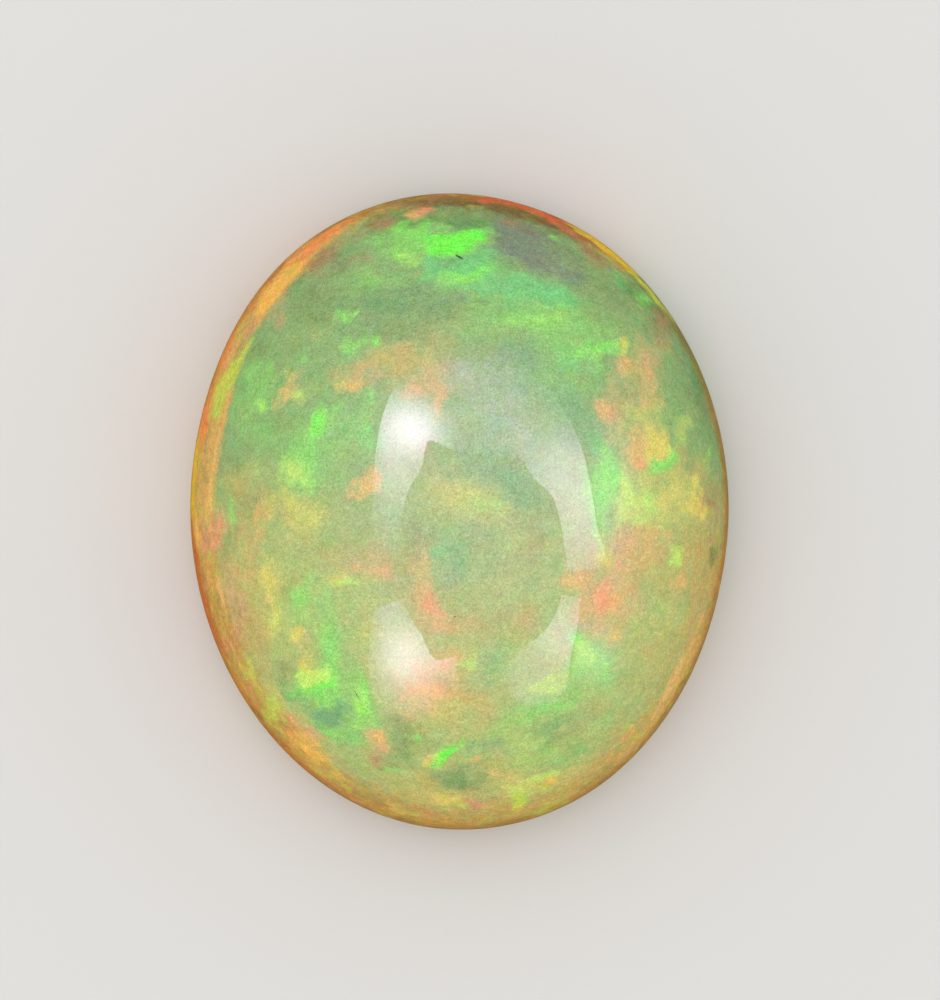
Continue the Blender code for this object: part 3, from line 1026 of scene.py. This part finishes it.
def seen_on_dome(x, y):
    """The place on the dome, in metres, that the camera sees where this place on the
    girdle's plane, in millimetres, would be."""
    top = girdle_top(bpy.context.scene.opal_settings)
    axes = dome_axes(top)
    eye = Vector((VIEW_CENTRE[0], VIEW_CENTRE[1], CAMERA_DISTANCE))
    sight = Vector((x * MM, y * MM, 0.0)) - eye
    eye_scaled = Vector((eye[i] / axes[i] for i in range(3)))
    sight_scaled = Vector((sight[i] / axes[i] for i in range(3)))
    a = sight_scaled.dot(sight_scaled)
    b = eye_scaled.dot(sight_scaled)
    c = eye_scaled.dot(eye_scaled) - 1
    under_root = b * b - a * c
    if under_root <= 0:
        return Vector((x * MM, y * MM, top))
    place = eye + sight * ((-b - math.sqrt(under_root)) / a)
    return place + Vector((0, 0, top))


def mirrored_by_dome(x, y):
    """Where a lamp has to be for the camera to see it mirrored at this place."""
    top = girdle_top(bpy.context.scene.opal_settings)
    axes = dome_axes(top)
    place = seen_on_dome(x, y)
    from_middle = place - Vector((0, 0, top))
    normal = Vector((from_middle[i] / axes[i] ** 2 for i in range(3))).normalized()
    eye = Vector((VIEW_CENTRE[0], VIEW_CENTRE[1], CAMERA_DISTANCE + top))
    sight = (place - eye).normalized()
    return place + sight.reflect(normal) * LAMP_DISTANCE


def on_dome(patches):
    """The patches as balls on the dome, each (place, turn, size, strength), in mm."""
    half = PATCH_SPREAD / 2
    return [
        (
            seen_on_dome(x, y) / MM, turn,
            (length * half, width * half, PATCH_DEPTH + max(length, width) * half), strength,
        )
        for x, y, length, width, turn, strength in patches
    ]


def under_base(patches):
    """The patches as flat balls on the base, in the same form."""
    half = PATCH_SPREAD / 2
    return [
        (Vector((x, y, 0.0)), turn, (length * half, width * half, BASE_DEPTH), strength)
        for x, y, length, width, turn, strength in patches
    ]


def strewn_patches():
    """Patches strewn over the flat base, by the name of their list."""
    rng = random.Random(BASE_SEED)
    strewn = {}
    for name, count in BASE_PATCHES.items():
        strewn[name] = []
        for _ in range(count):
            turn = rng.uniform(0, 2 * math.pi)
            reach = math.sqrt(rng.uniform(0, BASE_REACH)) / 2 / MM
            growth = BASE_DOMAIN_GROWTH if name in DOMAINS else 1.0
            length = rng.uniform(*BASE_LENGTHS) * growth
            strewn[name].append((
                SIZE.x * reach * math.cos(turn), SIZE.y * reach * math.sin(turn),
                length, length * rng.uniform(*BASE_WIDTHS),
                rng.uniform(0, 180), rng.uniform(*BASE_STRENGTHS),
            ))
    return strewn


def soft_ball(places, middle, turn, size):
    """1 in the middle of a ball, falling evenly to 0 at its size, at each place."""
    angle = math.radians(turn)
    x, y, z = (places - numpy.array(middle)).T
    along = (x * math.cos(angle) + y * math.sin(angle)) / size[0]
    across = (y * math.cos(angle) - x * math.sin(angle)) / size[1]
    away = numpy.sqrt(along ** 2 + across ** 2 + (z / size[2]) ** 2)
    return numpy.clip(1 - away, 0, 1)


def wandered(places):
    """Each place shifted by two sizes of noise, so that no patch has an even edge."""
    noise.seed_set(WANDER_SEED)
    shifted = []
    for place in places:
        wide = noise.noise_vector(Vector(place) * WIDE_WANDER["per_mm"])
        fine = noise.noise_vector(Vector(place) * FINE_WANDER["per_mm"])
        shifted.append(Vector(place) + wide * WIDE_WANDER["shift"] + fine * FINE_WANDER["shift"])
    return numpy.array(shifted)


def inset_from_rim(places, settings):
    """How far in from the girdle each place lies, in millimetres: on the dome from its
    height, which follows the cut, and below the girdle from its distance to the axis."""
    top = girdle_top(settings) / MM
    x, y, z = places.T
    climb = numpy.clip((z - top) / (SIZE.z / MM - top), 0, 1)
    scale = numpy.sqrt(1 - climb ** 2)
    flat = 2 * MM * numpy.hypot(x / SIZE.x, y / SIZE.y)
    scale = numpy.where(z < top - GIRDLE_DEPTH, flat, scale)
    return numpy.clip(1 - scale, 0, 1) * SIZE.x / 2 / MM


def glow_field(places, inset, glows):
    """The sum of the glows along the rim, at each place."""
    half = PATCH_SPREAD / 2
    direction = numpy.degrees(numpy.arctan2(places[:, 1], places[:, 0]))
    total = numpy.zeros(len(places))
    for middle, depth, length, width, strength in glows:
        along = ((direction - middle + 180) % 360 - 180) / (length * half)
        across = (inset - depth) / (width * half)
        total += strength * numpy.clip(1 - numpy.hypot(along, across), 0, 1)
    return total


def paint(mesh, name, values):
    """Keeps a number for each vertex of the mesh under this name."""
    layer = mesh.attributes.new(name, "FLOAT", "POINT")
    layer.data.foreach_set("value", numpy.asarray(values, dtype=numpy.float32))


def paint_patches(mesh, settings):
    """Paints how strongly each list of patches shows at each vertex."""
    places = numpy.array([vert.co / MM for vert in mesh.vertices])
    shifted = wandered(places)
    strewn = strewn_patches()
    for name, (patches, _) in {**DOMAINS, **FLASHES}.items():
        balls = on_dome(patches) + under_base(strewn.get(name, ()))
        field = sum(strength * soft_ball(shifted, place, turn, size)
                    for place, turn, size, strength in balls)
        paint(mesh, name, field)
    inset = inset_from_rim(places, settings)
    paint(mesh, "inset", inset)
    # The rim's painted glows, which stand for light seen through the thin edge, shifted a little by
    # the patches' wander.
    wander = (shifted - places)[:, 2] * GLOW_WANDER
    for name, glows in RIM_GLOWS.items():
        paint(mesh, "rim_" + name, glow_field(shifted, inset + wander, glows))


class Wiring:
    """Adds nodes to a material or a world. Each method gives the socket that holds its
    result."""

    def __init__(self, owner):
        owner.use_nodes = True
        self.tree = owner.node_tree

    def add(self, kind, **settings):
        """A new shader node of this kind, with these settings."""
        made = self.tree.nodes.new("ShaderNode" + kind)
        for name, value in settings.items():
            setattr(made, name, value)
        return made

    def feed(self, socket, value):
        """Links the socket to another one, or gives it a value of its own."""
        if isinstance(value, bpy.types.NodeSocket):
            self.tree.links.new(value, socket)
        elif socket.type == "RGBA" and len(value) == 3:
            socket.default_value = (*value, 1.0)
        else:
            socket.default_value = value

    def math(self, operation, *values):
        """The number that a Math node makes of the values."""
        made = self.add("Math", operation=operation)
        for socket, value in zip(made.inputs, values):
            self.feed(socket, value)
        return made.outputs["Value"]

    def vector(self, operation, *values):
        """The vector that a Vector Math node makes of the values."""
        made = self.add("VectorMath", operation=operation)
        for socket, value in zip(made.inputs, values):
            self.feed(socket, value)
        return made.outputs["Vector"]

    def scaled(self, vector, amount):
        """The vector times an amount."""
        made = self.add("VectorMath", operation="SCALE")
        self.feed(made.inputs["Vector"], vector)
        self.feed(made.inputs["Scale"], amount)
        return made.outputs["Vector"]

    def parts(self, vector):
        """The X, Y and Z of a vector."""
        made = self.add("SeparateXYZ")
        self.feed(made.inputs[0], vector)
        return made.outputs

    def smooth(self, value, low, high):
        """0 below low, 1 above high, and an even curve between them."""
        made = self.add("MapRange", interpolation_type="SMOOTHSTEP")
        self.feed(made.inputs["Value"], value)
        self.feed(made.inputs["From Min"], low)
        self.feed(made.inputs["From Max"], high)
        return made.outputs["Result"]

    def span(self, value, low, high):
        """A value from 0 to 1 spread over low to high."""
        made = self.add("MapRange")
        self.feed(made.inputs["Value"], value)
        self.feed(made.inputs["To Min"], low)
        self.feed(made.inputs["To Max"], high)
        return made.outputs["Result"]

    def blend(self, share, first, second):
        """A number between the first and the second."""
        made = self.add("Mix", data_type="FLOAT")
        self.feed(made.inputs["Factor"], share)
        self.feed(made.inputs["A"], first)
        self.feed(made.inputs["B"], second)
        return made.outputs["Result"]

    def mix(self, share, first, second, blend="MIX"):
        """A colour between the first and the second."""
        made = self.add("Mix", data_type="RGBA", blend_type=blend)
        self.feed(made.inputs["Factor"], share)
        self.feed(made.inputs[6], first)
        self.feed(made.inputs[7], second)
        return made.outputs[2]

    def noise(self, vector, name, output="Fac"):
        """The noise of this name in the list of noises."""
        made = self.add("TexNoise")
        self.feed(made.inputs["Vector"], vector)
        for socket, value in zip(("Scale", "Detail", "Roughness"), NOISES[name]):
            made.inputs[socket].default_value = value
        return made.outputs[output]

    def started_noise(self, vector, name, output="Fac"):
        """The noise of this name, from its own start."""
        return self.noise(self.mapped(vector, NOISE_STARTS[name]), name, output)

    def mapped(self, vector, place=(0, 0, 0), turn=0.0, size=(1, 1, 1)):
        """The vector as measured from a place, turned and in units of a size."""
        made = self.add("Mapping", vector_type="TEXTURE")
        self.feed(made.inputs["Vector"], vector)
        made.inputs["Location"].default_value = place
        made.inputs["Rotation"].default_value = (0, 0, math.radians(turn))
        made.inputs["Scale"].default_value = size
        return made.outputs["Vector"]

    def painted(self, name):
        """What was painted on the mesh under this name."""
        return self.add("Attribute", attribute_name=name).outputs["Fac"]

    def length(self, vector):
        made = self.add("VectorMath", operation="LENGTH")
        self.feed(made.inputs[0], vector)
        return made.outputs["Value"]

    def soft_balls(self, vector, balls):
        """The sum of soft balls, each (place, turn, size, strength): its strength in its
        middle, falling in an even curve to 0 at its size."""
        total = 0.0
        for place, turn, size, strength in balls:
            away = self.length(self.mapped(vector, place, turn, size))
            total = self.math("MULTIPLY_ADD", self.smooth(away, 1.0, 0.0), strength, total)
        return total


def ragged(wiring, field, breakup, amount, low, high):
    """A field with its edges broken up, cut to a mask from 0 to 1."""
    shift = wiring.math("MULTIPLY_ADD", breakup, amount, -amount / 2)
    near = wiring.smooth(field, 0.0, RAGGED_FROM)
    shifted = wiring.math("MULTIPLY_ADD", shift, near, field)
    return wiring.smooth(shifted, low, high)


def laid_over(wiring, colour, mask, cover, top_colour):
    """The colour with another one laid over it where the mask is, with this cover."""
    return wiring.mix(wiring.math("MULTIPLY", mask, cover), colour, top_colour)


def way_round(direction):
    """How far round the stone a direction is, from 0 to 1, starting where the rim is
    plain."""
    return (direction - RIM_START) % 360 / 360


def ramp_round(wiring, around, stops):
    """A colour ramp that runs once round the stone."""
    made = wiring.add("ValToRGB")
    ramp = made.color_ramp
    ramp.interpolation = "EASE"
    first_colour = stops[0][1]
    ramp.elements[0].position = 0.0
    ramp.elements[0].color = first_colour
    ramp.elements[1].position = 1.0
    ramp.elements[1].color = first_colour
    for place, colour in stops[1:]:
        ramp.elements.new(place).color = colour
    wiring.feed(made.inputs["Fac"], around)
    return made.outputs["Color"]


def rim_ramps(wiring, around):
    """The rim's outer colour, inner colour, width and softness in every direction."""
    lines, bands, sizes = [], [], []
    for direction, line, band, width, softness in RIM:
        stop = way_round(direction)
        lines.append((stop, (*RIM_GLOW_COLOURS[line], 1.0)))
        bands.append((stop, (*RIM_GLOW_COLOURS[band], 1.0)))
        sizes.append((stop, (width, softness, 0.0, 1.0)))
    split = wiring.add("SeparateColor")
    wiring.feed(split.inputs[0], ramp_round(wiring, around, sizes))
    line_colour = ramp_round(wiring, around, lines)
    band_colour = ramp_round(wiring, around, bands)
    return line_colour, band_colour, split.outputs[0], split.outputs[1]


def turn_round(wiring, place):
    """How far round the stone a place is, from 0 to 1."""
    made = wiring.add("TexGradient", gradient_type="RADIAL")
    # The gradient starts at -X, so half a turn is added.
    wiring.feed(made.inputs["Vector"], wiring.mapped(place, turn=180 + RIM_START))
    return made.outputs["Fac"]


def rim_streaks(wiring, place, inset):
    """Noise drawn out along the rim, from 0 to 1."""
    outward = wiring.vector("NORMALIZE", wiring.vector("MULTIPLY", place, (1.0, 1.0, 0.0)))
    lift = wiring.add("CombineXYZ")
    wiring.feed(lift.inputs["Z"], wiring.math("MULTIPLY", inset, STREAKS_INWARD))
    along = wiring.vector("ADD", wiring.scaled(outward, STREAKS_ROUND), lift.outputs[0])
    return wiring.noise(along, "streaks")


def with_flecks(wiring, colour, band, place):
    """The colour with soft green and rose flecks where the rim's band is."""
    for name, start in RIM_FLECKS.items():
        fleck = wiring.noise(wiring.mapped(place, start), "fleck")
        mask = wiring.math("MULTIPLY", wiring.smooth(fleck, *FLECK_EDGE), band)
        colour = laid_over(wiring, colour, mask, RIM_COVERS["fleck"], RIM_GLOW_COLOURS[name])
    return colour


def rim_band(wiring, inset, breakup, width, softness):
    """The mask of the band inside the outermost line, with a wandering inner edge."""
    wander = wiring.math("MULTIPLY_ADD", breakup, BAND_WANDER, -BAND_WANDER / 2)
    band_edge = wiring.math("MULTIPLY_ADD", wander, softness, inset)
    far = wiring.math("MULTIPLY_ADD", softness, 0.5, width)
    near = wiring.math("MULTIPLY_ADD", softness, -0.5, width)
    return wiring.smooth(band_edge, far, near)


def rim_line(wiring, inset, streaks):
    """The mask of the outermost line."""
    width, soft, wander = OUTER_LINE["width"], OUTER_LINE["soft"], OUTER_LINE["wander"]
    line_edge = wiring.math("MULTIPLY_ADD", streaks, wander, inset)
    return wiring.smooth(line_edge, width + soft, width)


def with_painted_rim_glow(wiring, colour, place, breakup):
    """The colour with the rim's painted glow over it: the amber band that stands for light
    leaving through the thin edge, its glows and the dark outermost line.
    """
    line_colour, band_colour, width, softness = rim_ramps(wiring, turn_round(wiring, place))
    inset = wiring.painted("inset")
    streaks = rim_streaks(wiring, place, inset)
    band = rim_band(wiring, inset, breakup, width, softness)
    light = wiring.span(streaks, *STREAK_LIGHT)
    band_colour = wiring.mix(1.0, band_colour, light, "MULTIPLY")
    colour = laid_over(wiring, colour, band, RIM_COVERS["band"], band_colour)
    line = rim_line(wiring, inset, streaks)
    colour = laid_over(wiring, colour, line, RIM_COVERS["line"], line_colour)
    colour = with_flecks(wiring, colour, band, place)
    for name in RIM_GLOWS:
        mask = ragged(wiring, wiring.painted("rim_" + name), breakup, **GLOW_EDGE)
        colour = laid_over(wiring, colour, mask, RIM_COVERS["glow"], RIM_GLOW_COLOURS[name])
    return colour


def with_grain(wiring, colour, place):
    """The colour with fine light and dark grains, as strong in dark as in light colours."""
    lift = (GRAIN_LIFT,) * 3
    grained = wiring.vector("ADD", colour, lift)
    for name, (dark, bright) in GRAIN_LIGHT.items():
        light = wiring.span(wiring.noise(place, name), dark, bright)
        grained = wiring.scaled(grained, light)
    return wiring.vector("SUBTRACT", grained, lift)


def drifting(wiring, place, name, shares):
    """Factors for red, green and blue that drift by these shares with a noise."""
    drift = wiring.started_noise(place, name, output="Color")
    return wiring.vector("MULTIPLY_ADD", drift, shares, [1 - share / 2 for share in shares])


def with_drift(wiring, colour, place):
    """The colour with a slow drift of its hue and its lightness, and a quicker one near
    the rim."""
    colour = wiring.vector("MULTIPLY", colour, drifting(wiring, place, "drift", DRIFT))
    near = wiring.smooth(wiring.painted("inset"), *RIM_DRIFT_EDGE)
    change = drifting(wiring, place, "rim_drift", RIM_DRIFT)
    return wiring.vector("MULTIPLY", colour, wiring.mix(near, (1.0, 1.0, 1.0), change))


def drawn_noise(wiring, place, turn):
    """Fine noise drawn out in one direction, like brush strokes."""
    return wiring.noise(wiring.mapped(place, turn=turn, size=STROKE_SHAPE), "strokes")


def breakup_noise(wiring, place):
    """What breaks the flashes up: level strokes high and low on the stone, upright
    strokes between them, and blotches everywhere. The blotches are given as well."""
    from_middle = wiring.math("ABSOLUTE", wiring.parts(place)["Y"])
    strokes = wiring.blend(
        wiring.smooth(from_middle, *UPRIGHT_EDGE),
        drawn_noise(wiring, place, LEVEL_TURN), drawn_noise(wiring, place, UPRIGHT_TURN),
    )
    blotch = wiring.started_noise(place, "blotch")
    return wiring.blend(STROKE_SHARE, blotch, strokes), blotch


def with_patches(wiring, colour, lists, breakup, edge, settings):
    """The colour with each of these lists of patches over it, with ragged edges."""
    for name, (_, cover) in lists.items():
        mask = ragged(wiring, wiring.painted(name), breakup, **edge)
        colour = laid_over(wiring, colour, mask, cover, getattr(settings, name))
    return colour


def with_painted_crown_glow(wiring, colour, place, settings):
    """The colour with the painted glow under the crown over it: a pale, bright haze that
    stands for light through the translucent dome.
    """
    middle = (*CROWN_GLOW_PLACE, SIZE.z / MM)
    # Painted glow: paler and brighter in the middle of the dome.
    haze = wiring.soft_balls(place, [(middle, 0, CROWN_GLOW_SIZE, 1.0)])
    return laid_over(wiring, colour, haze, CROWN_GLOW_COVER, settings.painted_crown_glow)


def with_inclusions(wiring, colour, place):
    """The colour with the few thin dark marks in the stone over it."""
    dark = wiring.smooth(wiring.soft_balls(place, on_dome(INCLUSIONS)), *INCLUSION_EDGE)
    return laid_over(wiring, colour, dark, INCLUSION_COVER, INCLUSION_COLOUR)


def set_finish(shader, values):
    """Gives the shader's own sockets these plain values."""
    for name, value in values.items():
        shader.inputs[name].default_value = value


def opal_material(settings):
    """The ground, the domains with the painted glare among them, the flashes, the painted
    glow under the crown and the painted glow of the rim, laid over each other, under a
    clear polish that is worn at the girdle."""
    material = bpy.data.materials.new("precious_opal")
    wiring = Wiring(material)
    finish = wiring.tree.nodes["Principled BSDF"]
    place = wiring.scaled(wiring.add("TexCoord").outputs["Object"], 1 / MM)
    crumble, blotch = breakup_noise(wiring, place)

    low = wiring.smooth(wiring.parts(place)["Y"], *GROUND_EDGE)
    colour = wiring.mix(low, settings.ground, settings.low_ground)
    cloud = wiring.started_noise(place, "cloud")
    colour = with_patches(wiring, colour, DOMAINS, cloud, DOMAIN_EDGE, settings)
    colour = with_patches(wiring, colour, FLASHES, crumble, FLASH_EDGE, settings)
    colour = with_painted_crown_glow(wiring, colour, place, settings)
    colour = with_painted_rim_glow(wiring, colour, place, blotch)
    colour = with_drift(wiring, colour, place)
    colour = with_inclusions(wiring, colour, place)
    colour = with_grain(wiring, colour, place)

    wiring.feed(finish.inputs["Base Color"], colour)
    polished = wiring.smooth(wiring.painted("inset"), 0.0, WORN_WIDTH)
    wiring.feed(finish.inputs["Coat Weight"], wiring.span(polished, GIRDLE_POLISH, 1.0))
    set_finish(finish, STONE_FINISH)
    return material


def put_in_scene(name, data):
    """A new object with this mesh, lamp or camera, in the scene."""
    made = bpy.data.objects.new(name, data)
    bpy.context.scene.collection.objects.link(made)
    return made


class OPAL_OT_stone(bpy.types.Operator):
    """Models the cabochon and gives it its opal material"""

    bl_idname = "opal.stone"
    bl_label = "Opal stone"

    def execute(self, context):
        settings = context.scene.opal_settings
        stone = put_in_scene("opal_stone", cabochon_mesh(settings))
        paint_patches(stone.data, settings)
        stone.data.materials.append(opal_material(settings))
        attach(stone, "root")
        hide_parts(NODE)
        return {"FINISHED"}


def make_floor(settings):
    """A wide floor that is open under the flat base, so that light reaches the base."""
    shape = bmesh.new()
    edges = first_ring(shape, FLOOR_OPENING, 0.0)
    grow_ring(shape, edges, FLOOR_SIDE / (SIZE.x * FLOOR_OPENING), 0.0)
    shape.normal_update()
    if min(face.normal.z for face in shape.faces) < 0:
        bmesh.ops.reverse_faces(shape, faces=shape.faces)
    mesh = bpy.data.meshes.new("floor")
    shape.to_mesh(mesh)
    shape.free()
    floor = put_in_scene("floor", mesh)
    material = bpy.data.materials.new("plain_floor")
    wiring = Wiring(material)
    finish = wiring.tree.nodes["Principled BSDF"]
    finish.inputs["Base Color"].default_value = (*settings.floor_colour, 1.0)
    set_finish(finish, FLOOR_FINISH)
    mesh.materials.append(material)
    floor.visible_glossy = False


def lamp_mesh(name, outline):
    """A thin sheet, cut to the outline while it lies flat as it is seen in the dome, and
    then moved to where the dome mirrors it. Its UV map keeps the place seen, in mm."""
    shape = bmesh.new()
    corners = [shape.verts.new((x, y, 0.0)) for x, y in outline]
    edges = [shape.edges.new(pair) for pair in zip(corners, corners[1:] + corners[:1])]
    bmesh.ops.triangle_fill(shape, use_beauty=True, use_dissolve=False, edges=edges)
    bmesh.ops.subdivide_edges(shape, edges=shape.edges, cuts=LAMP_CUTS, use_grid_fill=True)
    seen = shape.loops.layers.uv.new("seen")
    for face in shape.faces:
        for loop in face.loops:
            loop[seen].uv = loop.vert.co.xy
    for vert in shape.verts:
        vert.co = mirrored_by_dome(vert.co.x, vert.co.y)
    mesh = bpy.data.meshes.new(name)
    shape.to_mesh(mesh)
    shape.free()
    return mesh


def make_lamp(name, outline, glow):
    """A lamp that the dome mirrors with this outline, brighter in its glow spots."""
    lamp = put_in_scene(name, lamp_mesh(name, outline))
    material = bpy.data.materials.new(name)
    wiring = Wiring(material)
    wiring.tree.nodes.remove(wiring.tree.nodes["Principled BSDF"])
    place = wiring.add("UVMap", uv_map="seen").outputs["UV"]
    half = PATCH_SPREAD / 2
    spots = [
        ((x, y, 0.0), turn, (length * half, width * half, 1.0), brightness)
        for x, y, length, width, turn, brightness in glow
    ]
    emission = wiring.add("Emission")
    emission.inputs["Color"].default_value = (*LAMP_COLOUR, 1.0)
    wiring.feed(emission.inputs["Strength"], wiring.soft_balls(place, spots))
    output = wiring.tree.nodes["Material Output"]
    wiring.tree.links.new(emission.outputs["Emission"], output.inputs["Surface"])
    lamp.data.materials.append(material)
    lamp.visible_camera = False
    lamp.visible_diffuse = False
    lamp.visible_shadow = False
    lamp.visible_transmission = False


def make_key_lamp():
    """A weak square lamp to one side, turned to the stone, that the polish doesn't mirror."""
    light = bpy.data.lights.new("key_lamp", "AREA")
    light.size = KEY_LAMP["side"]
    light.energy = KEY_LAMP["watts"]
    lamp = put_in_scene("key_lamp", light)
    lamp.location = KEY_LAMP["place"]
    lamp.rotation_mode = "QUATERNION"
    lamp.rotation_quaternion = Vector(KEY_LAMP["place"]).to_track_quat("Z", "Y")
    lamp.visible_glossy = False
    lamp.visible_camera = False


def make_world(settings):
    """Soft light from all round, stronger from the sides than from above, of which the
    polish mirrors only a little."""
    world = bpy.data.worlds.new("soft_room")
    wiring = Wiring(world)
    background = wiring.tree.nodes["Background"]
    background.inputs["Color"].default_value = (1.0, 1.0, 1.0, 1.0)
    up = wiring.parts(wiring.add("TexCoord").outputs["Generated"])["Z"]
    light = wiring.span(wiring.math("DIVIDE", up, HIGH_UP), settings.sideways, settings.overhead)
    mirrored = wiring.add("LightPath").outputs["Is Glossy Ray"]
    strength = wiring.span(mirrored, light, MIRRORED_ROOM)
    wiring.feed(background.inputs["Strength"], strength)
    bpy.context.scene.world = world


def make_camera(settings):
    """Looks straight down, with +Y up in the picture."""
    data = bpy.data.cameras.new("camera")
    data.sensor_width = SENSOR
    data.lens = SENSOR * CAMERA_DISTANCE / VIEW_HEIGHT
    data.clip_start = CLIP_START
    camera = put_in_scene("camera", data)
    camera.location = (*VIEW_CENTRE, girdle_top(settings) + CAMERA_DISTANCE)
    bpy.context.scene.camera = camera


class OPAL_OT_stage(bpy.types.Operator):
    """Sets the floor, the lamps, the soft room light and the camera"""

    bl_idname = "opal.stage"
    bl_label = "Stage"

    def execute(self, context):
        settings = context.scene.opal_settings
        make_floor(settings)
        for name, lamp in LAMPS.items():
            make_lamp("lamp_" + name, lamp["outline"], lamp["glow"])
        make_key_lamp()
        make_world(settings)
        make_camera(settings)
        context.scene.view_settings.view_transform = "Standard"
        return {"FINISHED"}


class OPAL_PT_panel(bpy.types.Panel):
    """Lists the stone's settings and what can be built"""

    bl_idname = "OPAL_PT_panel"
    bl_label = "Opal cabochon"
    bl_space_type = "VIEW_3D"
    bl_region_type = "UI"
    bl_category = "Opal"

    def draw(self, context):
        layout = self.layout
        settings = context.scene.opal_settings
        for name in settings.bl_rna.properties.keys():
            if name not in ("rna_type", "name"):
                layout.prop(settings, name)
        for operator in OPERATORS:
            layout.operator(operator.bl_idname)


OPERATORS = (OPAL_OT_stone, OPAL_OT_stage)
CLASSES = (OpalSettings, *OPERATORS, OPAL_PT_panel)


def register():
    for item in CLASSES:
        bpy.utils.register_class(item)
    bpy.types.Scene.opal_settings = bpy.props.PointerProperty(type=OpalSettings)


def unregister():
    del bpy.types.Scene.opal_settings
    for item in reversed(CLASSES):
        bpy.utils.unregister_class(item)


def main():
    """Builds the stone and its stage."""
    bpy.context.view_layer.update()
    register()
    bpy.ops.opal.stone()
    bpy.ops.opal.stage()


if __name__ == "__main__":
    main()
